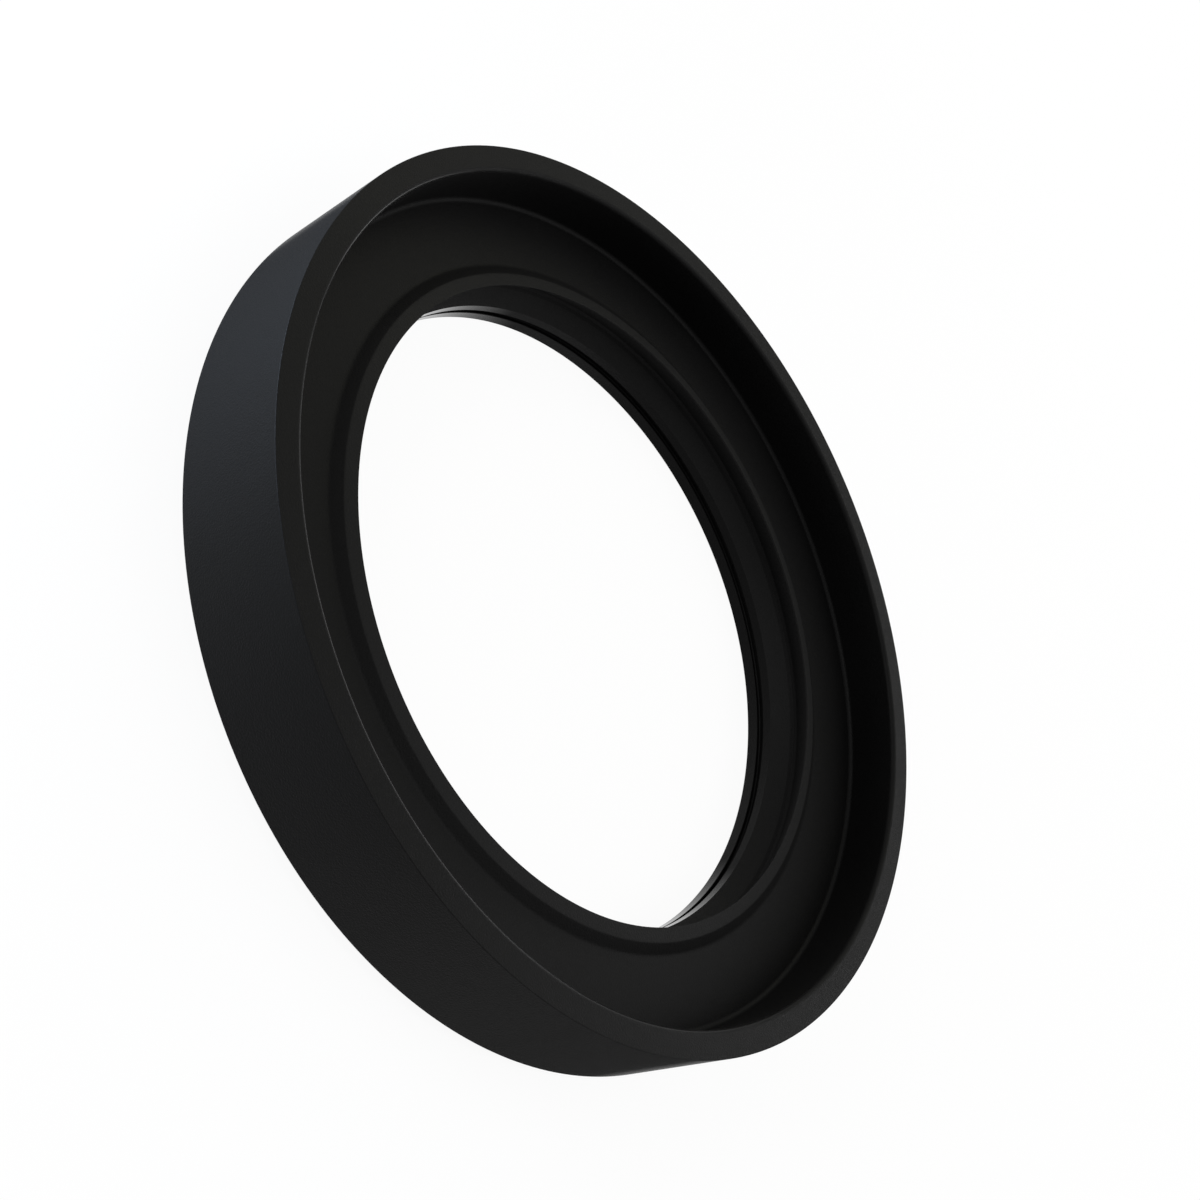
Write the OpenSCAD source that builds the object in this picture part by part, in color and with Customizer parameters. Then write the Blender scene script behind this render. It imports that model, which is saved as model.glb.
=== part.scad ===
// Radial shaft seal: rubber moulded round a pressed steel case, with a main lip that a garter
// spring pulls in and a dust lip in front of it.
// The seal lies on its oil side. +Z is its axis and points out of the air side, and the origin
// is the centre of the circle that it lies on. Both lips are drawn at the shaft's own size.

/* [Fit] */
// Diameter of the shaft that the lips run on
shaft_d = 58; // [52:0.5:64]
// Diameter of the housing bore that the outside is pressed into
housing_d = 80; // [74:0.5:90]
// Width of the seal along the shaft
seal_w = 12; // [11:0.25:16]
// Section height, from shaft to housing, for which the sizes across the lips are given
design_h = 11; // [9:0.25:13]
// Seal width for which the heights of the recess and the lips are given
design_w = 12; // [11:0.25:13]

/* [Rim and front recess] */
// Rubber inside the case's back end, which with the wall and its cover makes up the rim
rim_inner = 0.35; // [0.25:0.05:1]
// Depth of the front recess, from the rim's face to its floor
recess_depth = 5.25; // [4.5:0.05:5.5]
// Radius of the rim's inner edge and of the corner under it
recess_round = 0.45; // [0.1:0.05:0.8]
// Height and width of the lead-in bevel at the back end of the outside
back_bevel = 1.3; // [0.8:0.05:1.5]
// Radius of the edges of the bead round the case's back end
bead_round = 0.2; // [0.05:0.05:0.3]

/* [Steel case] */
// Thickness of the case's sheet
sheet_t = 1; // [0.7:0.05:1.2]
// Inner radius of the bend between the case's wall and its web
bend_r = 0.8; // [0.4:0.1:1.5]
// Rubber between the case's wall and the housing
wall_cover = 1; // [0.7:0.05:1.2]
// Rubber between the case's web and the floor of the front recess
web_cover = 0.5; // [0.3:0.05:0.8]
// Rubber under the case's back end
end_cover = 1; // [0.8:0.05:1.2]
// Height of the bead that wraps the inside of the case's back end
bead_h = 1.7; // [1.3:0.1:2.5]
// Rubber between the root of the main lip and the hole in the case's web
root_t = 1.35; // [0.8:0.05:2]
// Thickness of the rubber skin that grips the back of the web
skin_t = 0.4; // [0.2:0.05:0.5]
// Width of the skin, from the web's hole outwards
skin_w = 1.3; // [0.6:0.1:2.5]

/* [Dust lip] */
// Height of the dust lip above the floor of the front recess
dust_rise = 0.85; // [0.6:0.05:1.2]
// Width of the dust lip's front face
dust_face_w = 1.2; // [0.9:0.05:1.5]
// How much lower the front face is at its outer edge
dust_face_drop = 0.2; // [0:0.05:0.3]
// Spread of the dust lip's outer wall, from its face down to the floor
dust_spread = 1; // [0.7:0.05:1.2]
// Radius of the dust lip's outer edge
dust_edge_r = 0.5; // [0.1:0.05:0.6]
// Radius between the dust lip and the floor
dust_foot_r = 0.7; // [0.1:0.05:0.8]
// Slope of the back of the dust lip, from the shaft
dust_angle = 33.5; // [30:0.5:37]
// Height of the band by which the dust lip touches the shaft
dust_band_h = 0.1; // [0.05:0.05:0.3]

/* [Main lip] */
// Height of the sealing edge above the back of the seal
edge_z = 2.15; // [1.9:0.05:2.4]
// Height of the band by which the main lip touches the shaft
edge_h = 0.9; // [0.7:0.05:1.1]
// Slope of the air side of the main lip, from the shaft
lip_angle = 40.5; // [38:0.5:43]
// Height of the flat at the bottom of the hollow between the lips
hollow_land = 0.4; // [0.2:0.05:0.6]
// Radius at both edges of the hollow's flat
hollow_r = 0.1; // [0.05:0.05:0.2]
// Thickness of the neck on which the main lip bends
neck_t = 0.9; // [0.7:0.05:1.1]
// Radius at both ends of the neck, as a share of the neck's length
neck_round = 0.25; // [0.1:0.05:0.3]

/* [Oil groove and nose] */
// Width of the groove behind the sealing edge
groove_w = 0.75; // [0.6:0.05:0.9]
// Depth of the groove behind the sealing edge
groove_depth = 0.7; // [0.55:0.05:0.8]
// Slope of the groove's lower side, which undercuts the nose
groove_slope = 40; // [35:1:45]
// Radius of the corners at the groove's bottom
groove_round = 0.2; // [0.1:0.05:0.2]
// Clearance between the nose and the shaft, at the groove
nose_clear = 0.1; // [0:0.01:0.15]
// How much wider the nose is at its back end
nose_flare = 0.1; // [0:0.01:0.2]
// Width of the nose's back face
nose_face_w = 1.1; // [0.8:0.05:1.2]
// Height of the nose's back face above the surface that the seal lies on
nose_gap = 0.05; // [0.02:0.01:0.2]

/* [Garter spring] */
// Outer diameter of the spring's coil
coil_d = 1.8; // [1.5:0.05:1.9]
// Rubber between the spring and the sealing edge's diameter
lip_t = 1.25; // [1.1:0.05:1.5]
// Height of the middle of the coil above the back of the seal
ring_z = 2.45; // [2.4:0.05:2.6]
// Play of the coil in its groove
coil_play = 0.05; // [0.02:0.01:0.1]
// How far the groove's shoulders close round the coil, past its middle
shoulder_hold = 0.45; // [0.3:0.05:0.55]
// Thickness of the groove's shoulders
shoulder_t = 0.4; // [0.3:0.05:0.5]

/* [Hidden] */
$fn = 192;

shaft_r = shaft_d / 2;
housing_r = housing_d / 2;
section_h = housing_r - shaft_r;

// The lips keep their share of the section: across it, along the shaft, and in their roundings
across = section_h / design_h;
along = seal_w / design_w;
rounding = min(across, along);
// How far a corner's piece reaches past the corner, as a share of its radius
corner_overlap = 0.5;

// Case: an L, with its wall towards the back and its web under the front recess
wall_r = housing_r - wall_cover;
rim_r = wall_r - sheet_t - rim_inner;
floor_z = seal_w - recess_depth * along;
web_z = floor_z - web_cover;
sheet_mid_r = wall_r - sheet_t / 2;
sheet_mid_z = web_z - sheet_t / 2;
skin_z = web_z - sheet_t - skin_t;

// Lips: each meets the shaft in a band, and their slopes run to the flat at the hollow's bottom
dust_r = shaft_r + dust_face_w * across;
dust_foot_edge = dust_r + dust_spread * across;
dust_face_z = floor_z + dust_rise * along;
dust_edge_z = dust_face_z - dust_face_drop * along;
dust_back_z = dust_face_z - dust_band_h * along;
dust_slope = tan(dust_angle) * across / along;
edge_at_z = edge_z * along;
lip_front_z = edge_at_z + edge_h * along;
lip_slope = tan(lip_angle) * across / along;
hollow_h = hollow_land * along;
hollow_depth = (dust_back_z - lip_front_z - hollow_h) / (1 / dust_slope + 1 / lip_slope);
hollow_edge_r = shaft_r + hollow_depth;
hollow_low_z = lip_front_z + hollow_depth / lip_slope;
hollow_high_z = hollow_low_z + hollow_h;

// Spring groove: the coil is pulled in until it touches the groove's bottom
coil_r = coil_d / 2;
ring_r = shaft_r + lip_t * across + coil_r;
ring_at_z = ring_z * along;
groove_r = coil_r + coil_play;
groove_mid_r = ring_r + coil_play;
mouth = sqrt(groove_r * groove_r - shoulder_hold * shoulder_hold);
shoulder_r = groove_mid_r + shoulder_hold;
shoulder_top_z = ring_at_z + mouth + shoulder_t;
shoulder_low_z = ring_at_z - mouth - shoulder_t;

// Neck: its outer side runs parallel to the air side of the main lip, and its last third closes
// in on the shoulder
function neck_outer_r(z) =
  shaft_r + (z - lip_front_z) * lip_slope + neck_t * across / cos(atan(lip_slope));
neck_len = skin_z - shoulder_top_z;
neck_z = skin_z - neck_len * 2 / 3;
neck_r = neck_len * neck_round;
root_r = neck_outer_r(skin_z);
web_hole_r = root_r + root_t * across;
skin_end_r = web_hole_r + skin_w * across;

// Nose: the back end of the main lip, behind the oil groove
nose_r = shaft_r + nose_clear * across;
nose_back_r = nose_r + nose_flare * across;
nose_outer_r = nose_back_r + nose_face_w * across;
groove_at_r = shaft_r + groove_depth * across;
groove_at_z = edge_at_z - groove_w * along;
groove_low_z = groove_at_z - (groove_depth - nose_clear) * tan(groove_slope) * along;

function unit(v) = v / norm(v);

// The sharp piece between a corner of an outline and an arc that touches both its edges
module corner_piece(before, corner, after, radius) {
  u = unit(before - corner);
  v = unit(after - corner);
  middle = unit(u + v);
  half_angle = acos(u * v) / 2;
  reach = radius / tan(half_angle);
  centre = corner + middle * radius / sin(half_angle);
  difference() {
    polygon([
      corner - middle * radius * corner_overlap,
      corner + u * reach,
      centre,
      corner + v * reach
    ]);
    translate(centre) circle(r = radius);
  }
}

// An outline with rounded corners. Each row is a corner's distance from the axis, its height and
// its radius, and the rows run anticlockwise
module rounded_outline(rows) {
  count = len(rows);
  points = [for (row = rows) [row[0], row[1]]];
  function before(i) = points[(i + count - 1) % count];
  function after(i) = points[(i + 1) % count];
  function turn(i) = cross(points[i] - before(i), after(i) - points[i]);
  difference() {
    union() {
      polygon(points);
      for (i = [0 : count - 1])
        if (rows[i][2] > 0 && turn(i) < 0)
          corner_piece(before(i), points[i], after(i), rows[i][2]);
    }
    for (i = [0 : count - 1])
      if (rows[i][2] > 0 && turn(i) > 0)
        corner_piece(before(i), points[i], after(i), rows[i][2]);
  }
}

// Section of the pressed steel case
module case_section() {
  rounded_outline([
    [wall_r - sheet_t, end_cover, 0],
    [wall_r, end_cover, 0],
    [wall_r, web_z, bend_r + sheet_t],
    [web_hole_r, web_z, 0],
    [web_hole_r, web_z - sheet_t, 0],
    [wall_r - sheet_t, web_z - sheet_t, bend_r]
  ]);
}

// Section of everything inside the rubber's own surface. Behind the web and inside the wall it
// follows the middle of the sheet, because the case is taken out of it afterwards
module moulding_section() {
  rounded_outline([
    // Back of the nose and the lower shoulder of the spring groove
    [nose_back_r, nose_gap, 0],
    [nose_outer_r, nose_gap, bead_round],
    [shoulder_r, shoulder_low_z, bead_round],
    // Upper shoulder, neck and the skin on the back of the web
    [shoulder_r, shoulder_top_z, bead_round],
    [neck_outer_r(neck_z), neck_z, neck_r],
    [root_r, skin_z, neck_r],
    [skin_end_r, skin_z, bead_round],
    // Middle of the sheet, from the web round the bend and down the wall
    [skin_end_r, sheet_mid_z, 0],
    [sheet_mid_r, sheet_mid_z, bend_r + sheet_t / 2],
    [sheet_mid_r, bead_h, 0],
    // Bead round the case's back end, bevel and outside
    [rim_r, bead_h, bead_round],
    [rim_r, 0, bead_round],
    [housing_r - back_bevel, 0, 0],
    [housing_r, back_bevel, 0],
    [housing_r, seal_w, 0],
    // Front rim and recess
    [rim_r, seal_w, recess_round],
    [rim_r, floor_z, recess_round],
    // Dust lip and the hollow behind it
    [dust_foot_edge, floor_z, dust_foot_r * rounding],
    [dust_r, dust_edge_z, dust_edge_r * rounding],
    [shaft_r, dust_face_z, 0],
    [shaft_r, dust_back_z, 0],
    [hollow_edge_r, hollow_high_z, hollow_r * rounding],
    [hollow_edge_r, hollow_low_z, hollow_r * rounding],
    // Main lip, sealing edge and the groove behind it
    [shaft_r, lip_front_z, 0],
    [shaft_r, edge_at_z, 0],
    [groove_at_r, edge_at_z, groove_round * rounding],
    [groove_at_r, groove_low_z, groove_round * rounding],
    [nose_r, groove_at_z, 0]
  ]);
}

// Moulded rubber: outside, rim, web cover, dust lip and main lip in one piece
module rubber_body() {
  color([0.05, 0.05, 0.055])
  rotate_extrude()
  difference() {
    moulding_section();
    case_section();
    translate([groove_mid_r, ring_at_z]) circle(r = groove_r);
  }
}

// Pressed steel ring that the rubber is moulded round
module steel_case() {
  color([0.62, 0.62, 0.64])
  rotate_extrude()
  case_section();
}

// Closed coil spring in the groove round the main lip, as a plain ring of its outer size
module garter_spring() {
  color([0.75, 0.75, 0.77])
  rotate_extrude()
  translate([ring_r, ring_at_z]) circle(r = coil_r);
}

rubber_body();
steel_case();
garter_spring();
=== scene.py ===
# %% [markdown]
# # A rotary shaft seal, dressed from its frame
#
# The object is an oil seal: a ring of black rubber, moulded round a pressed steel case, with a
# coil spring round its main lip. The frame that is loaded here holds its three solids at their
# real size. They are right in form, but their curves are chopped into flats and they have no
# finish. Each is a body of revolution, so the two sections are turned again here, finely, in the
# same place. The spring is wound from real wire, and each piece gets the finish of its material.

# %% Load the frame and keep its box
import math

import bmesh
import bpy
from mathutils import Matrix, Vector


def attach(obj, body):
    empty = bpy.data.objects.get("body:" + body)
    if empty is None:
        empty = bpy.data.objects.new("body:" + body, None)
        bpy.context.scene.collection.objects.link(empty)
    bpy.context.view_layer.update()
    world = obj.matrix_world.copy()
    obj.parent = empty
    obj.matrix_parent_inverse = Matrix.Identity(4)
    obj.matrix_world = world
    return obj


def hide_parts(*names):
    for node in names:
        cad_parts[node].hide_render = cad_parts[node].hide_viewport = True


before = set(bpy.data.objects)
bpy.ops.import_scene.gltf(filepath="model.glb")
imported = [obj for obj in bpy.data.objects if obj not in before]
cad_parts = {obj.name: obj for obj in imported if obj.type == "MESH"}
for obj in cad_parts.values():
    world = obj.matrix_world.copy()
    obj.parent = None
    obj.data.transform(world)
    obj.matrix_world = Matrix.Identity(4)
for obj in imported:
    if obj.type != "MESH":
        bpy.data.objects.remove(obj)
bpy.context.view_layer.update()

MM = 0.001
print("nodes", sorted(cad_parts))

# %% [markdown]
# ## Sizes from the frame
#
# The driving sizes are read from the frame, so the scene can't differ from it. For a body of
# revolution four numbers say where it is: how near to the axis and how far from it the solid
# has corners, and how low and how high it reaches. The nearest corners of the rubber are the
# seal's bore, and those of the case are the hole in its web.


# %% Read the driving sizes
def reach_of(node):
    """Nearest and farthest distance of a solid from the axis, and its lowest and highest place."""
    corners = [corner.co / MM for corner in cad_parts[node].data.vertices]
    radii = [math.hypot(corner.x, corner.y) for corner in corners]
    heights = [corner.z for corner in corners]
    return min(radii), max(radii), min(heights), max(heights)


shaft_r, housing_r, _, seal_w = reach_of("rubber_body")
web_hole_r, wall_r, end_cover, web_z = reach_of("steel_case")
spring_in_r, spring_out_r, spring_low, spring_high = reach_of("garter_spring")
coil_r = (spring_out_r - spring_in_r) / 2
ring_r = (spring_out_r + spring_in_r) / 2
ring_z = (spring_low + spring_high) / 2
print(f"bore {2 * shaft_r:.2f}, outside {2 * housing_r:.2f}, width {seal_w:.2f} mm")
print(f"case {2 * wall_r:.2f} across, its hole {2 * web_hole_r:.2f}")
print(f"spring {2 * ring_r:.2f} across, with a coil of {2 * coil_r:.2f}")

# %% [markdown]
# ## The camera
#
# The photograph looks down on the recessed air side of the seal, with the camera rolled so far
# over that the seal seems to stand on its edge. A ring can't stand like that, so here it lies
# flat and the camera takes the same place against it: 37 degrees above the floor, rolled by 68
# degrees. The three distances put the middle of the front rim where the photograph has it. They
# are given in outside radii, because that is how a picture measures.

# %% Place the camera
VIEW_DOWN = math.radians(36.72)
VIEW_ROLL = math.radians(68.31)
LENS_MM = 47.15
RIM_RIGHT, RIM_UP, RIM_AWAY = 0.1139, 0.0467, 3.3707

level = Vector((1, 0, 0))
back = Vector((0, -math.cos(VIEW_DOWN), math.sin(VIEW_DOWN)))
right = level * math.cos(VIEW_ROLL) + back.cross(level) * math.sin(VIEW_ROLL)
up = back.cross(right)
place = Vector((0, 0, seal_w * MM))
place += (back * RIM_AWAY - right * RIM_RIGHT - up * RIM_UP) * housing_r * MM

camera = bpy.data.objects.new("camera", bpy.data.cameras.new("camera"))
camera.data.lens = LENS_MM
camera.data.clip_start = 0.01
camera.matrix_world = Matrix.Translation(place) @ Matrix((right, up, back)).transposed().to_4x4()
bpy.context.scene.collection.objects.link(camera)
bpy.context.scene.camera = camera
print("camera at", [round(v, 4) for v in place], "m")

# %% [markdown]
# ## Sums on wires
#
# A node tree does its sums with Math nodes, which are slow to lay by hand. `Wire` stands for one
# output socket. Adding or multiplying wires adds the Math node and returns its output, so a
# formula can be written as a formula, in a shader or in a Geometry Nodes tree. `Tree.sum` does the
# other sums, such as a square root, by the Math node's own names for them. Every other node comes
# from `Tree.add`, which takes its type, its settings and what goes into its sockets.


# %% A wire and a tree
class Wire:
    """One output socket of a node tree. Sums on it add Math nodes."""

    def __init__(self, tree, socket):
        self.tree = tree
        self.socket = socket

    def out(self, name):
        """Another output of the node that this one comes from."""
        return Wire(self.tree, self.socket.node.outputs[name])

    def __add__(self, other):
        return self.tree.sum("ADD", self, other)

    def __sub__(self, other):
        return self.tree.sum("SUBTRACT", self, other)

    def __rsub__(self, other):
        return self.tree.sum("SUBTRACT", other, self)

    def __mul__(self, other):
        return self.tree.sum("MULTIPLY", self, other)

    def __truediv__(self, other):
        return self.tree.sum("DIVIDE", self, other)

    def __rtruediv__(self, other):
        return self.tree.sum("DIVIDE", other, self)

    def __gt__(self, other):
        return self.tree.sum("GREATER_THAN", self, other)

    def __lt__(self, other):
        return self.tree.sum("LESS_THAN", self, other)

    __radd__ = __add__
    __rmul__ = __mul__


class Tree:
    """A node tree that is filled one node at a time."""

    def __init__(self, nodes_of):
        self.tree = nodes_of

    def add(self, kind, settings=None, values=None, output=0):
        node = self.tree.nodes.new(kind)
        for name, value in (settings or {}).items():
            setattr(node, name, value)
        for name, value in (values or {}).items():
            if isinstance(value, Wire):
                self.tree.links.new(value.socket, node.inputs[name])
            else:
                node.inputs[name].default_value = value
        return Wire(self, node.outputs[output]) if node.outputs else node

    def sum(self, operation, *values):
        return self.add("ShaderNodeMath", {"operation": operation}, dict(enumerate(values)))


def ramp(tree, value, low, high):
    """0 up to the low value, 1 from the high one on, and even between them."""
    values = {"Value": value, "From Min": low, "From Max": high}
    return tree.add("ShaderNodeMapRange", values=values)


def from_axis(tree, at):
    """The distance of a place from the seal's axis, and its height."""
    apart = tree.add("ShaderNodeSeparateXYZ", values={0: at})
    x, y = apart.out("X"), apart.out("Y")
    squares = x * x + y * y
    return tree.sum("SQRT", squares), apart.out("Z")


print("Wire and Tree are ready")

# %% [markdown]
# ## A section with rounded corners
#
# A seal is drawn as its section: the face that a knife leaves when it cuts the ring down to the
# axis. The moulder's drawing has sharp corners, each with a radius written beside it, and the
# helper below takes the same thing: rows of distance from the axis, height and radius, in
# millimetres. It puts an arc at each corner that has a radius. It also adds a point just before
# and after each arc, so that smooth shading bends over the arc only and the flats stay flat.


# %% Round a section's corners
ARC_STEP = math.radians(10)
FLAT_MARGIN = 0.03


def rounded(rows):
    """The points of an outline whose corners are replaced by arcs of the given radii."""
    points = []
    for i, (r, z, radius) in enumerate(rows):
        corner = Vector((r, z))
        if not radius:
            points.append(corner)
            continue
        to_before = (Vector(rows[i - 1][:2]) - corner).normalized()
        to_after = (Vector(rows[(i + 1) % len(rows)][:2]) - corner).normalized()
        half_angle = to_before.angle(to_after) / 2
        reach = radius / math.tan(half_angle)
        centre = corner + (to_before + to_after).normalized() * radius / math.sin(half_angle)
        start = corner + to_before * reach - centre
        end = corner + to_after * reach - centre
        turn = math.atan2(start.x * end.y - start.y * end.x, start.dot(end))
        steps = max(3, math.ceil(abs(turn) / ARC_STEP))
        points.append(corner + to_before * (reach + FLAT_MARGIN))
        for step in range(steps + 1):
            c, s = math.cos(turn * step / steps), math.sin(turn * step / steps)
            points.append(centre + Vector((start.x * c - start.y * s, start.x * s + start.y * c)))
        points.append(corner + to_after * (reach + FLAT_MARGIN))
    return points


print("an arc has a point every", round(math.degrees(ARC_STEP)), "degrees at most")

# %% [markdown]
# ## The turning tree
#
# The section stands in the XZ plane as a loop of edges. The Spin tool could turn it, but a
# Geometry Nodes tree states the rule itself: the loop is the profile of a circle round the
# seal's axis. Curve to Mesh lays a profile with X outwards and Y down, so the tree first moves
# each point there. Edges that bend by more than the input SharpOver stay sharp. The tree ends in
# Realize Instances and Set Material.

# %% Build the turning tree
AXIS_CIRCLE = 1.0


def with_inputs(name, **kinds):
    """An empty Geometry Nodes tree with these inputs, their wires and their identifiers."""
    group = bpy.data.node_groups.new(name, "GeometryNodeTree")
    marks = {}
    for label, kind in kinds.items():
        socket = group.interface.new_socket(label, in_out="INPUT", socket_type="NodeSocket" + kind)
        marks[label] = socket.identifier
    group.interface.new_socket("Made", in_out="OUTPUT", socket_type="NodeSocketGeometry")
    tree = Tree(group)
    given = group.nodes.new("NodeGroupInput")
    wires = {label: Wire(tree, given.outputs[label]) for label in kinds}
    return group, tree, wires, marks


def end_tree(group, tree, made, material):
    """The two last steps of every tree, and its output."""
    made = tree.add("GeometryNodeRealizeInstances", values={"Geometry": made})
    made = tree.add("GeometryNodeSetMaterial", values={"Geometry": made, "Material": material})
    group.links.new(made.socket, group.nodes.new("NodeGroupOutput").inputs[0])


def turning_tree():
    """Turns a section that stands in the XZ plane round the Z axis."""
    group, tree, given, marks = with_inputs(
        "turn a section", Section="Geometry", Steps="Int", SharpOver="Float", Finish="Material"
    )
    apart = tree.add("ShaderNodeSeparateXYZ", values={0: tree.add("GeometryNodeInputPosition")})
    laid = tree.add(
        "ShaderNodeCombineXYZ", values={"X": apart.out("X") - AXIS_CIRCLE, "Y": 0 - apart.out("Z")}
    )
    profile = tree.add(
        "GeometryNodeSetPosition", values={"Geometry": given["Section"], "Position": laid}
    )
    profile = tree.add("GeometryNodeMeshToCurve", values={"Mesh": profile})
    circle = tree.add(
        "GeometryNodeCurvePrimitiveCircle",
        values={"Resolution": given["Steps"], "Radius": AXIS_CIRCLE},
    )
    ring = tree.add("GeometryNodeCurveToMesh", values={"Curve": circle, "Profile Curve": profile})
    ring = tree.add("GeometryNodeSetShadeSmooth", values={"Geometry": ring, "Shade Smooth": True})
    bend = tree.add("GeometryNodeInputMeshEdgeAngle")
    ring = tree.add(
        "GeometryNodeSetShadeSmooth",
        {"domain": "EDGE"},
        {"Geometry": ring, "Selection": bend > given["SharpOver"], "Shade Smooth": False},
    )
    end_tree(group, tree, ring, given["Finish"])
    return group, marks


TURN, TURN_MARKS = turning_tree()
print("the turning tree has", len(TURN.nodes), "nodes")

# %% [markdown]
# ## From tree to plain mesh
#
# A scene hands on plain meshes, not live modifiers. `made_by` gives a source mesh the tree as a
# modifier, sets its inputs by their identifiers, evaluates it once and keeps the result as a
# mesh at the origin. `volume` then measures what came out. A positive volume close to the
# frame's own shows in one number that the faces point outwards and that no wall is missing.


# %% Bake a tree into a piece
def made_by(name, source, group, marks, values):
    """A new object that holds what the tree makes of the source mesh."""
    maker = bpy.data.objects.new("maker of " + name, source)
    bpy.context.scene.collection.objects.link(maker)
    modifier = maker.modifiers.new("tree", "NODES")
    modifier.node_group = group
    for label, value in values.items():
        modifier[marks[label]] = value
    evaluated = maker.evaluated_get(bpy.context.evaluated_depsgraph_get())
    mesh = bpy.data.meshes.new_from_object(evaluated)
    bpy.data.objects.remove(maker)
    mesh.name = name
    piece = bpy.data.objects.new(name, mesh)
    bpy.context.scene.collection.objects.link(piece)
    return piece


def volume(obj):
    """Cubic millimetres inside an object's mesh."""
    mesh = bmesh.new()
    mesh.from_mesh(obj.data)
    inside = mesh.calc_volume(signed=True)
    mesh.free()
    return inside / MM**3


TURN_STEPS = 288
SHARP_OVER = math.radians(20)


def turned(name, rows, material):
    """A ring whose section has these corners, given anticlockwise."""
    points = rounded(rows)[::-1]
    section = bpy.data.meshes.new("section of " + name)
    loop = [(i, (i + 1) % len(points)) for i in range(len(points))]
    section.from_pydata([(p.x * MM, 0, p.y * MM) for p in points], loop, [])
    values = {"Steps": TURN_STEPS, "SharpOver": SHARP_OVER, "Finish": material}
    piece = made_by(name, section, TURN, TURN_MARKS, values)
    print(f"{name}: {len(points)} points round its section, {len(piece.data.polygons)} faces")
    return piece


off_round = housing_r * (1 - math.cos(math.pi / TURN_STEPS))
print(TURN_STEPS, "steps keep the outside round to", round(off_round, 4), "mm")

# %% [markdown]
# ## The rubber's section
#
# One moulding makes the outside, the rim, the recess and both lips, so it is one outline. It
# starts at the nose behind the main lip and runs anticlockwise: over the groove for the spring,
# along the neck to the back of the steel web, round the steel, down over the bead to the lead-in
# bevel, up the outside to the rim, and back through the recess and over the dust lip to the
# sealing edge. Most of it is hidden in the photograph, so its rows repeat the named sizes of the
# solid. Edges that a hand would feel get at least a small radius, because an edge without
# one catches no light.

# %% Sizes of the case and the front
sheet_t = 1.0
bend_r = 0.8
rim_inner = 0.35
web_cover = 0.5
floor_z = web_z + web_cover
rim_r = wall_r - sheet_t - rim_inner
recess_round = 0.45
back_bevel = 1.3
bead_h = 1.7
bead_round = 0.2
edge_round = 0.06
print(f"rim {housing_r - rim_r:.2f} thick, recess {seal_w - floor_z:.2f} deep")

# %% [markdown]
# Each lip meets the shaft in a band: the dust lip nearly in a line, the main lip 0.9 mm high.
# From there their backs slope into the rubber and make the hollow between them, which ends in a
# flat 0.4 mm high. The depth at which the two slopes are just that far apart is worked out,
# because a guessed corner would bend one of them. In front, the dust lip's face falls off a
# little outwards, and its outer wall runs down to the floor of the recess at a third of a right
# angle.

# %% Sizes of the two lips
dust_h = 0.85
dust_face_w = 1.2
dust_face_fall = 0.2
dust_wall_w = 1.0
dust_band = 0.1
dust_edge_round = 0.5
dust_foot_round = 0.7
dust_face_z = floor_z + dust_h
dust_r = shaft_r + dust_face_w
dust_edge_z = dust_face_z - dust_face_fall
dust_foot_r = dust_r + dust_wall_w
dust_back_z = dust_face_z - dust_band
edge_z = 2.15
lip_band = 0.9
lip_front_z = edge_z + lip_band
dust_slope = math.tan(math.radians(33.5))
lip_slope = math.tan(math.radians(40.5))
hollow_h = 0.4
hollow_round = 0.1
hollow_depth = (dust_back_z - lip_front_z - hollow_h) / (1 / dust_slope + 1 / lip_slope)
hollow_r = shaft_r + hollow_depth
hollow_z = lip_front_z + hollow_depth / lip_slope
print(f"the hollow between the lips is {hollow_depth:.2f} deep at height {hollow_z:.2f}")

# %% [markdown]
# Round the main lip runs the groove that holds the spring. It is a circle, a little wider than
# the coil, open through a mouth between two shoulders. The points of the circle are added
# one by one, from the mouth's lower corner round the bottom to its upper corner.

# %% Sizes of the spring groove and the neck
groove_play = 0.05
groove_r = coil_r + groove_play
groove_mid_r = ring_r + groove_play
shoulder_hold = 0.45
shoulder_t = 0.4
shoulder_r = groove_mid_r + shoulder_hold
mouth = math.sqrt(groove_r**2 - shoulder_hold**2)
shoulder_top_z = ring_z + mouth + shoulder_t
shoulder_low_z = ring_z - mouth - shoulder_t
back_skin = 0.4
skin_z = web_z - sheet_t - back_skin
skin_end_r = web_hole_r + 1.3
neck_t = 0.9
neck_len = skin_z - shoulder_top_z
neck_z = skin_z - neck_len * 2 / 3
neck_r = neck_len * 0.25
mouth_angle = math.atan2(mouth, shoulder_hold)
GROOVE_STEPS = 28


def neck_outer(z):
    """Radius of the neck's outer side, which runs parallel to the air side of the main lip."""
    return shaft_r + (z - lip_front_z) * lip_slope + neck_t / math.cos(math.atan(lip_slope))


def groove_rows():
    """Points of the spring groove's circle, from the lower to the upper corner of its mouth."""
    rows = []
    for i in range(GROOVE_STEPS + 1):
        angle = -mouth_angle - (2 * math.pi - 2 * mouth_angle) * i / GROOVE_STEPS
        r = groove_mid_r + groove_r * math.cos(angle)
        z = ring_z + groove_r * math.sin(angle)
        rows.append((r, z, edge_round if i in (0, GROOVE_STEPS) else 0))
    return rows


print(f"groove mouth {2 * mouth:.2f} wide, neck {neck_len:.2f} long, web hole {2 * web_hole_r:.2f}")

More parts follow.
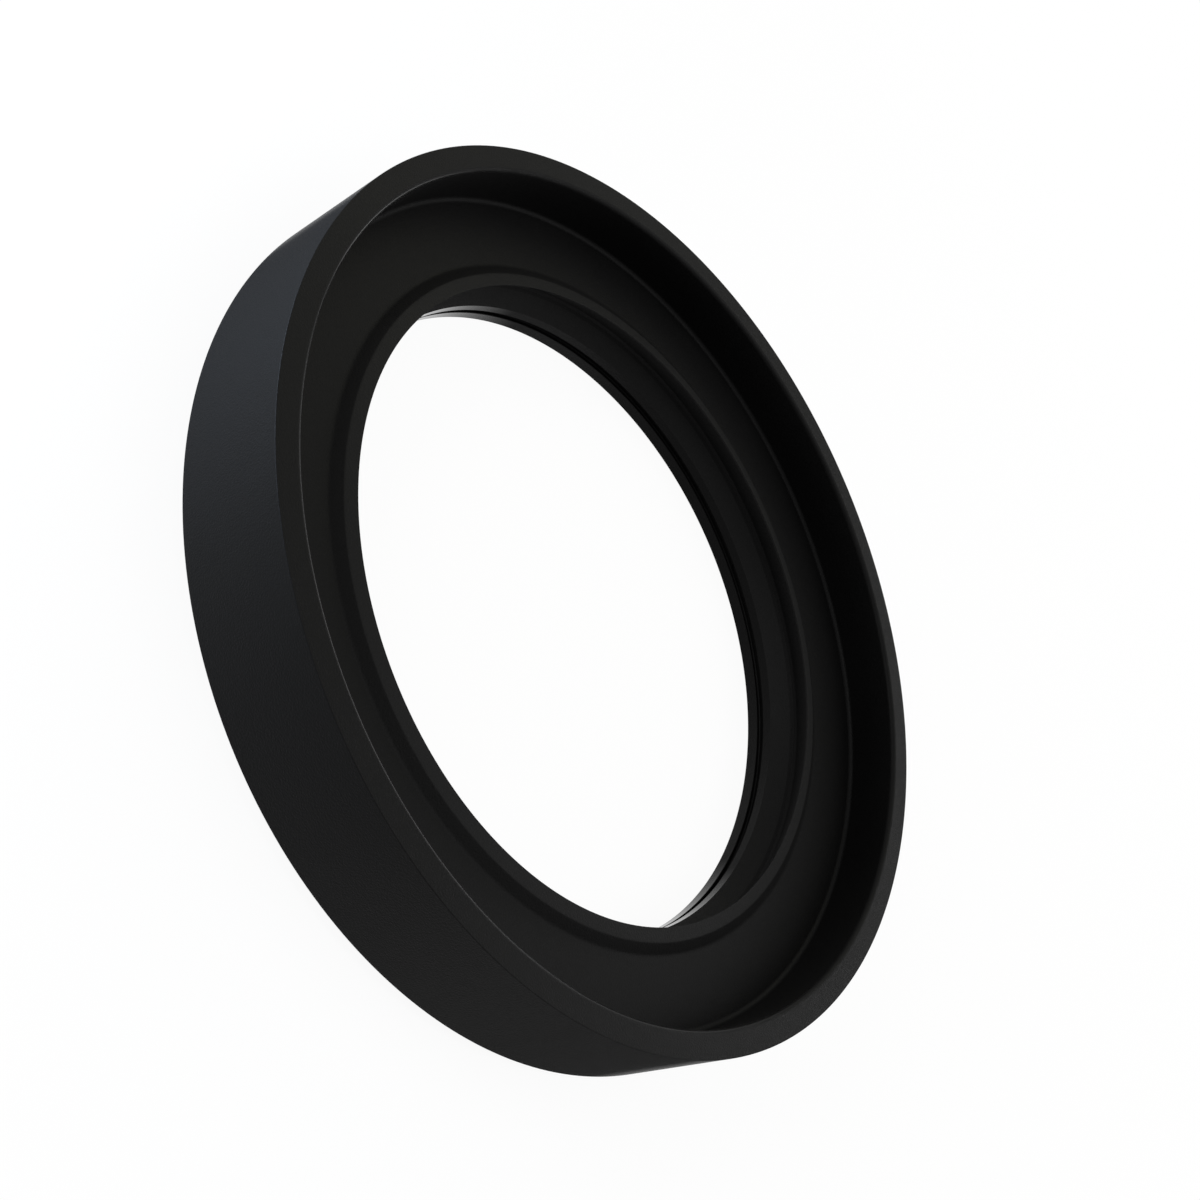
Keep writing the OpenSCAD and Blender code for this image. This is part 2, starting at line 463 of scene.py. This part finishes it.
# %% [markdown]
# ## Black moulded rubber
#
# Seal rubber is filled with soot, so it is nearly black all through and hardly any light comes
# back out of it. What is seen is a weak, broad gloss that grows where the surface is looked
# along. So the base colour is very dark and the specular level low. The mould's steel is
# eroded to a fine grain, about a tenth of a millimetre across, and prints it on the rubber: a
# Noise Texture on Object coordinates makes it, through a Bump node. A second, slow noise shifts
# colour and gloss a little, as the bloom on rubber does. The dust lip's face and the main lip's
# cone are painted greyer: this is painted light on recessed faces that the lamps reach too
# weakly. The mould is polished, not eroded, where it forms the sealing edge and the rim's inner
# corner, so both have a thin smooth skin over the rubber. That skin is the shader's coat. It
# mirrors the surroundings where the eye looks along it, as every smooth surface does, and it
# comes in with the facing angle, so that it stays unseen where it is looked at squarely.


# %% Make the rubber
def new_finish(name):
    """An empty material, its tree, and the place of each point on the piece."""
    material = bpy.data.materials.new(name)
    material.use_nodes = True
    material.node_tree.nodes.clear()
    tree = Tree(material.node_tree)
    return material, tree, tree.add("ShaderNodeTexCoord").out("Object")


def noise(tree, at, patch, detail=2.0, roughness=0.5):
    """A noise from 0 to 1, whose patches are about this many millimetres across."""
    values = {"Vector": at, "Scale": 1 / (patch * MM), "Detail": detail, "Roughness": roughness}
    return tree.add("ShaderNodeTexNoise", values=values)


def between(tree, amount, dark, light):
    """A colour between two others."""
    values = {0: amount, 6: (*dark, 1), 7: (*light, 1)}
    return tree.add("ShaderNodeMix", {"data_type": "RGBA"}, values, output=2)


def bump(tree, height, strength, depth):
    """A normal that follows this height, at most so many millimetres deep."""
    values = {"Strength": strength, "Distance": depth * MM, "Height": height}
    return tree.add("ShaderNodeBump", values=values)


def end_finish(tree, surface):
    """The Principled shader of these values, and the tree's output."""
    shader = tree.add("ShaderNodeBsdfPrincipled", values=surface)
    tree.add("ShaderNodeOutputMaterial", values={"Surface": shader})


# How far from the bore the smooth skin reaches, how far round the dust lip's face and how high on
# the main lip's cone the rubber is painted greyer as painted light, and a margin, so that a face
# lies wholly on one side
LIP_SKIN = 0.3
PAINTED_LIGHT_SPARE = 0.1
PAINTED_LIGHT_CONE_H = 1.5
TOUCH = 0.02
DARKEST = (0.0015, 0.0015, 0.0015)
# The greyest tone is reached by the bloom's random tone and by the painted light on the lips
GREYEST_BLOOM_AND_PAINTED_LIGHT = (0.007, 0.007, 0.007)


def black_rubber():
    """Grained black rubber, smooth at the sealing edge and the rim's inner corner."""
    material, tree, at = new_finish("black moulded rubber")
    grain = noise(tree, at, patch=0.15, roughness=0.7)
    bloom = noise(tree, at, patch=14, detail=4, roughness=0.6)
    facing = tree.add("ShaderNodeLayerWeight", values={"Blend": 0.5}).out("Facing")
    across, height = from_axis(tree, at)
    lip = (across < (shaft_r + LIP_SKIN) * MM) * (height < (lip_front_z + TOUCH) * MM)
    corner = (across < (rim_r + recess_round) * MM) * (height > (seal_w - recess_round) * MM)
    coat = ramp(tree, facing, 0.6, 0.85) * lip + ramp(tree, facing, 0.45, 0.7) * corner * 0.5
    coat = tree.sum("MAXIMUM", coat, ramp(tree, facing, 0.9, 1.0) * 0.3)
    # Painted light: the recessed dust lip face and main lip cone get a greyer base colour in place
    # of lamp light that reaches them too weakly
    painted_light_face = height > (dust_edge_z - TOUCH) * MM
    painted_light_cone = (height > lip_front_z * MM) * (height < (lip_front_z + PAINTED_LIGHT_CONE_H) * MM)
    painted_light_lips = (painted_light_face + painted_light_cone) * (across < (dust_r + PAINTED_LIGHT_SPARE) * MM)
    surface = {
        "Base Color": between(tree, bloom * 0.2 + painted_light_lips * 0.75, DARKEST, GREYEST_BLOOM_AND_PAINTED_LIGHT),
        "Roughness": 0.37 + bloom * 0.08 + grain * 0.1 + ramp(tree, facing, 0.4, 0.85) * 0.4,
        "Specular IOR Level": 0.055,
        "Coat Weight": coat,
        "Coat Roughness": 0.12,
        "Normal": bump(tree, grain, strength=1.0, depth=0.04),
    }
    end_finish(tree, surface)
    return material


RUBBER = black_rubber()
print(RUBBER.name, "has", len(RUBBER.node_tree.nodes), "nodes")

# %% [markdown]
# All corners are known now, and the outline can be written from nose to nose. The rows that
# follow the steel are the steel's own corners, because the rubber is moulded on to it and
# there is no gap between them.

# %% Turn the rubber
nose_set_back = 0.1
nose_bevel = 0.1
nose_t = 1.1
nose_z = 0.05
nose_r = shaft_r + nose_set_back
nose_back_r = nose_r + nose_bevel
nose_outer_r = nose_back_r + nose_t
oil_groove_depth = 0.7
oil_groove_w = 0.75
oil_groove_round = 0.2
oil_groove_r = shaft_r + oil_groove_depth
oil_groove_z = edge_z - oil_groove_w
undercut = math.tan(math.radians(40)) * (oil_groove_r - nose_r)

RUBBER_ROWS = [
    (nose_back_r, nose_z, edge_round),
    (nose_outer_r, nose_z, bead_round),
    (shoulder_r, shoulder_low_z, bead_round),
    *groove_rows(),
    (shoulder_r, shoulder_top_z, bead_round),
    (neck_outer(neck_z), neck_z, neck_r),
    (neck_outer(skin_z), skin_z, neck_r),
    (skin_end_r, skin_z, bead_round),
    (skin_end_r, web_z - sheet_t, 0),
    (web_hole_r, web_z - sheet_t, 0),
    (web_hole_r, web_z, 0),
    (wall_r, web_z, bend_r + sheet_t),
    (wall_r, end_cover, 0),
    (wall_r - sheet_t, end_cover, 0),
    (wall_r - sheet_t, bead_h, 0),
    (rim_r, bead_h, bead_round),
    (rim_r, 0, bead_round),
    (housing_r - back_bevel, 0, edge_round),
    (housing_r, back_bevel, edge_round),
    (housing_r, seal_w, edge_round),
    (rim_r, seal_w, recess_round),
    (rim_r, floor_z, recess_round),
    (dust_foot_r, floor_z, dust_foot_round),
    (dust_r, dust_edge_z, dust_edge_round),
    (shaft_r, dust_face_z, 0),
    (shaft_r, dust_back_z, 0),
    (hollow_r, hollow_z + hollow_h, hollow_round),
    (hollow_r, hollow_z, hollow_round),
    (shaft_r, lip_front_z, 0),
    (shaft_r, edge_z, 0),
    (oil_groove_r, edge_z, oil_groove_round),
    (oil_groove_r, oil_groove_z - undercut, oil_groove_round),
    (nose_r, oil_groove_z, edge_round),
]
rubber_seal = turned("rubber_seal", RUBBER_ROWS, RUBBER)
cad_volume = volume(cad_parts["rubber_body"])
print(f"rubber {volume(rubber_seal):.0f} cubic mm, {cad_volume:.0f} in the frame")

# %% [markdown]
# ## Pressed steel
#
# The case is drawn from sheet in a press and is left bare where the rubber doesn't cover it, in
# the recess on the oil side. Drawing leaves two kinds of marks: upright scores on the wall, where
# the sheet slid down the die, and rings on the flat web, from the pad that held it. The
# same noise gives both. Stretched along the height it makes scores, and read by the distance
# from the axis it makes rings. The surface's own slope chooses between them.


# %% Make the steel of the case
def bare_steel():
    """Dull grey sheet with the marks of the press."""
    material, tree, at = new_finish("pressed steel sheet")
    across, z = from_axis(tree, at)
    stretch = {0: at, 1: (1, 1, 0.03)}
    stretched = tree.add("ShaderNodeVectorMath", {"operation": "MULTIPLY"}, stretch)
    ringed = tree.add("ShaderNodeCombineXYZ", values={"X": across, "Y": z * 0.3})
    scores = noise(tree, stretched, patch=0.25, detail=3)
    rings = noise(tree, ringed, patch=0.2, detail=3)
    normal = tree.add("ShaderNodeNewGeometry").out("Normal")
    slope = tree.add("ShaderNodeSeparateXYZ", values={0: normal}).out("Z")
    flat = slope * slope
    marks = rings * flat + scores * (1 - flat)
    stain = noise(tree, at, patch=9, detail=5, roughness=0.65)
    shade = stain * 0.7 + marks * 0.3
    surface = {
        "Base Color": between(tree, shade, (0.27, 0.265, 0.26), (0.5, 0.5, 0.505)),
        "Metallic": 1.0,
        "Roughness": 0.24 + stain * 0.2 + marks * 0.12,
        "Normal": bump(tree, marks, strength=0.25, depth=0.01),
    }
    end_finish(tree, surface)
    return material


STEEL = bare_steel()
print(STEEL.name, "has", len(STEEL.node_tree.nodes), "nodes")

# %% [markdown]
# ## The pressed case
#
# The case is one piece of sheet with an L-shaped section: a wall towards the back, and a web that
# reaches in towards the main lip. It is turned by the same tree as the rubber. The bend has the
# radius of the press tool inside, and that plus the sheet's thickness outside, so the sheet is
# equally thick all the way round it.

# %% Turn the case
CASE_ROWS = [
    (wall_r - sheet_t, end_cover, 0),
    (wall_r, end_cover, 0),
    (wall_r, web_z, bend_r + sheet_t),
    (web_hole_r, web_z, 0),
    (web_hole_r, web_z - sheet_t, 0),
    (wall_r - sheet_t, web_z - sheet_t, bend_r),
]
pressed_case = turned("pressed_case", CASE_ROWS, STEEL)
cad_volume = volume(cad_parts["steel_case"])
print(f"case {volume(pressed_case):.0f} cubic mm, {cad_volume:.0f} in the frame")

# %% [markdown]
# ## Drawn spring wire
#
# The spring's wire is drawn through a die until it is smooth and bright, so it is the shiniest
# thing on the seal. Only a slight, slow change in its gloss shows, from the oil left on it, and a
# very fine grain along it.


# %% Make the wire's steel
def bright_wire():
    """Smooth bright steel with a thin film of oil."""
    material, tree, at = new_finish("drawn spring wire")
    film = noise(tree, at, patch=5, detail=3)
    grain = noise(tree, at, patch=0.08)
    surface = {
        "Base Color": between(tree, film, (0.42, 0.415, 0.41), (0.62, 0.62, 0.63)),
        "Metallic": 1.0,
        "Roughness": 0.2 + film * 0.15 + grain * 0.06,
        "Normal": bump(tree, grain, strength=0.1, depth=0.005),
    }
    end_finish(tree, surface)
    return material


WIRE_STEEL = bright_wire()
print(WIRE_STEEL.name, "has", len(WIRE_STEEL.node_tree.nodes), "nodes")

# %% [markdown]
# ## The wound spring
#
# A garter spring is a close coil of thin wire, bent into a ring and joined to itself. Its turns
# repeat hundreds of times along a circle, which is what Geometry Nodes are for. The tree starts
# from a circle with a dozen points for each turn and moves every point by its number: the number
# over all points is the way round the ring, and the number over a dozen is the way round the
# coil. A hexagonal wire along that path keeps the faces few, and smooth shading rounds it.


# %% Build the winding tree
def winding_tree():
    """A closed coil: wire wound in even turns round a ring in the XY plane."""
    group, tree, given, marks = with_inputs(
        "wind a garter spring",
        Source="Geometry",
        Ring="Float",
        Height="Float",
        Coil="Float",
        Wire="Float",
        Turns="Int",
        PointsPerTurn="Int",
        Finish="Material",
    )
    points = given["Turns"] * given["PointsPerTurn"]
    circle = tree.add("GeometryNodeCurvePrimitiveCircle", values={"Resolution": points})
    number = tree.add("GeometryNodeInputIndex")
    round_ring = number / points * (2 * math.pi)
    round_coil = number / given["PointsPerTurn"] * (2 * math.pi)
    helix_r = given["Coil"] - given["Wire"]
    out = given["Ring"] + helix_r * tree.sum("COSINE", round_coil)
    place_on = tree.add(
        "ShaderNodeCombineXYZ",
        values={
            "X": out * tree.sum("COSINE", round_ring),
            "Y": out * tree.sum("SINE", round_ring),
            "Z": given["Height"] + helix_r * tree.sum("SINE", round_coil),
        },
    )
    path = tree.add("GeometryNodeSetPosition", values={"Geometry": circle, "Position": place_on})
    wire = tree.add(
        "GeometryNodeCurvePrimitiveCircle",
        values={"Resolution": WIRE_SIDES, "Radius": given["Wire"]},
    )
    coil = tree.add("GeometryNodeCurveToMesh", values={"Curve": path, "Profile Curve": wire})
    coil = tree.add("GeometryNodeSetShadeSmooth", values={"Geometry": coil, "Shade Smooth": True})
    end_tree(group, tree, coil, given["Finish"])
    return group, marks


WIRE_SIDES = 6
WIND, WIND_MARKS = winding_tree()
print("the winding tree has", len(WIND.nodes), "nodes")

# %% [markdown]
# A close coil has as many turns as the wire fits round its tight inner side, where the turns
# touch. On the outer side the same turns fan out, and that lets light into the gaps.

# %% Wind the spring
WIRE_R = 0.2
POINTS_PER_TURN = 12
TURNS = int(2 * math.pi * (ring_r - coil_r + WIRE_R) / (2 * WIRE_R))
wound_spring = made_by(
    "wound_spring",
    bpy.data.meshes.new("nothing"),
    WIND,
    WIND_MARKS,
    {
        "Ring": ring_r * MM,
        "Height": ring_z * MM,
        "Coil": coil_r * MM,
        "Wire": WIRE_R * MM,
        "Turns": TURNS,
        "PointsPerTurn": POINTS_PER_TURN,
        "Finish": WIRE_STEEL,
    },
)
print(f"{TURNS} turns, {len(wound_spring.data.polygons)} faces, {volume(wound_spring):.0f} cubic mm")

# %% [markdown]
# ## Pieces on the frame
#
# The seal has no joint, so every piece rides on the one body of the frame, "root". Each stands
# for the solid of the same part, which then isn't shown.

# %% Hang the pieces on the frame
for piece, node, slot in (
    (rubber_seal, "rubber_body", "rubber"),
    (pressed_case, "steel_case", "case_steel"),
    (wound_spring, "garter_spring", "spring_steel"),
):
    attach(piece, "root")
    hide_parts(node)
    print(piece.name, "stands for", node, "in", slot)

# %% [markdown]
# ## Floor
#
# The photograph's background is plain white. The floor gets it from its own material: rays that
# come straight from the camera, or by a reflection, meet a surface that glows at strength 1,
# which is white and no more. A small share of it stays ordinary matt white near the seal, so
# that the seal's shadow shows there. Seen from below, the floor is clear, so that the back of
# the seal can be looked at.


# %% Lay the floor
def seen_rays(tree):
    """1 for the rays that come from the camera, by a reflection or through something clear."""
    ray = tree.add("ShaderNodeLightPath")
    return ray.out("Is Camera Ray") + ray.out("Is Glossy Ray") + ray.out("Is Transmission Ray")


def white_floor():
    """A floor that is seen as plain white, takes a soft shadow and is clear from below."""
    material, tree, at = new_finish("white floor")
    away = tree.add("ShaderNodeVectorMath", {"operation": "LENGTH"}, {0: at}).out("Value")
    plain = {"Value": away, "From Min": 0.05, "From Max": 0.2, "To Min": 0.93, "To Max": 1.0}
    glow = tree.add("ShaderNodeMapRange", values=plain) * seen_rays(tree)
    matt = tree.add("ShaderNodeBsdfDiffuse", values={"Color": (0.93, 0.93, 0.93, 1)})
    white = tree.add("ShaderNodeEmission", values={"Color": (1, 1, 1, 1), "Strength": 1.0})
    top = tree.add("ShaderNodeMixShader", values={0: glow, 1: matt, 2: white})
    below = tree.add("ShaderNodeNewGeometry").out("Backfacing")
    clear = tree.add("ShaderNodeBsdfTransparent")
    both = tree.add("ShaderNodeMixShader", values={0: below, 1: top, 2: clear})
    tree.add("ShaderNodeOutputMaterial", values={"Surface": both})
    return material


FLOOR_REACH = 1.5
ends = (-FLOOR_REACH, FLOOR_REACH)
floor_mesh = bpy.data.meshes.new("floor")
floor_mesh.from_pydata([(x, y, 0) for x in ends for y in ends], [], [(0, 2, 3, 1)])
floor_mesh.materials.append(white_floor())
floor = bpy.data.objects.new("floor", floor_mesh)
bpy.context.scene.collection.objects.link(floor)
print("floor is", 2 * FLOOR_REACH, "m across at height 0")

# %% [markdown]
# ## Light
#
# The world is a white studio: white to the camera and in reflections, and a weaker, even light
# for everything else. Soft lamps do the rest. Black rubber shows a lamp only as a gloss, on
# surfaces that would mirror it, so two lamps stand opposite the camera. They lie on the rim, the
# dust lip and the near side of the floor, but not on the far side, which the wall shades. The
# left one is warm, as the left half of the photographed rim is. A lamp above lights the near
# side, where the camera looks down more steeply, and one at the left reaches into the bore. A low
# strip at the back draws the bright line on the rim's inner corner. A cool strip lies on
# the ground beside the seal, lower than its rim, where the photograph has a bluish sheen on the
# outside and none on the walls of the recess.

# %% Light the studio
world = bpy.data.worlds.new("studio")
bpy.context.scene.world = world
world.use_nodes = True
world.node_tree.nodes.clear()
sky = Tree(world.node_tree)
light = sky.add("ShaderNodeBackground", values={"Color": (1, 1, 1, 1), "Strength": 0.35})
white = sky.add("ShaderNodeBackground", values={"Color": (1, 1, 1, 1), "Strength": 1.0})
shown = sky.add("ShaderNodeMixShader", values={0: seen_rays(sky), 1: light, 2: white})
sky.add("ShaderNodeOutputWorld", values={"Surface": shown})

COOL = (0.66, 0.79, 1)
WHITE = (1, 1, 1)
WARM = (1, 0.98, 0.6)
aim = Vector((0, 0, seal_w * MM / 2))
for name, place, width, height, watts, colour in (
    ("far right lamp", (0.35, 0.5, 0.4), 0.5, 0.5, 0.55, WHITE),
    ("far left lamp", (-0.3, 0.5, 0.45), 0.4, 0.4, 0.36, WARM),
    ("top lamp", (0.15, 0.1, 0.7), 0.5, 0.5, 2.2, WHITE),
    ("left lamp", (-0.45, -0.35, 0.3), 0.3, 0.3, 1.4, WHITE),
    ("ground strip", (-0.105, -0.07, 0.006), 0.08, 0.01, 0.32, COOL),
    ("low strip", (0.15, 0.53, 0.07), 0.25, 0.1, 0.22, WHITE),
):
    lamp = bpy.data.lights.new(name, "AREA")
    lamp.shape = "RECTANGLE"
    lamp.size, lamp.size_y, lamp.energy, lamp.color = width, height, watts, colour
    holder = bpy.data.objects.new(name, lamp)
    holder.location = place
    holder.rotation_euler = (aim - Vector(place)).to_track_quat("-Z", "Y").to_euler()
    bpy.context.scene.collection.objects.link(holder)
    print(name, "of", watts, "W at", round(Vector(place).length, 2), "m")

# %% [markdown]
# ## Finish
#
# The Standard view shows a colour as it is written.

# %% Show colours as they are written
bpy.context.scene.view_settings.view_transform = "Standard"
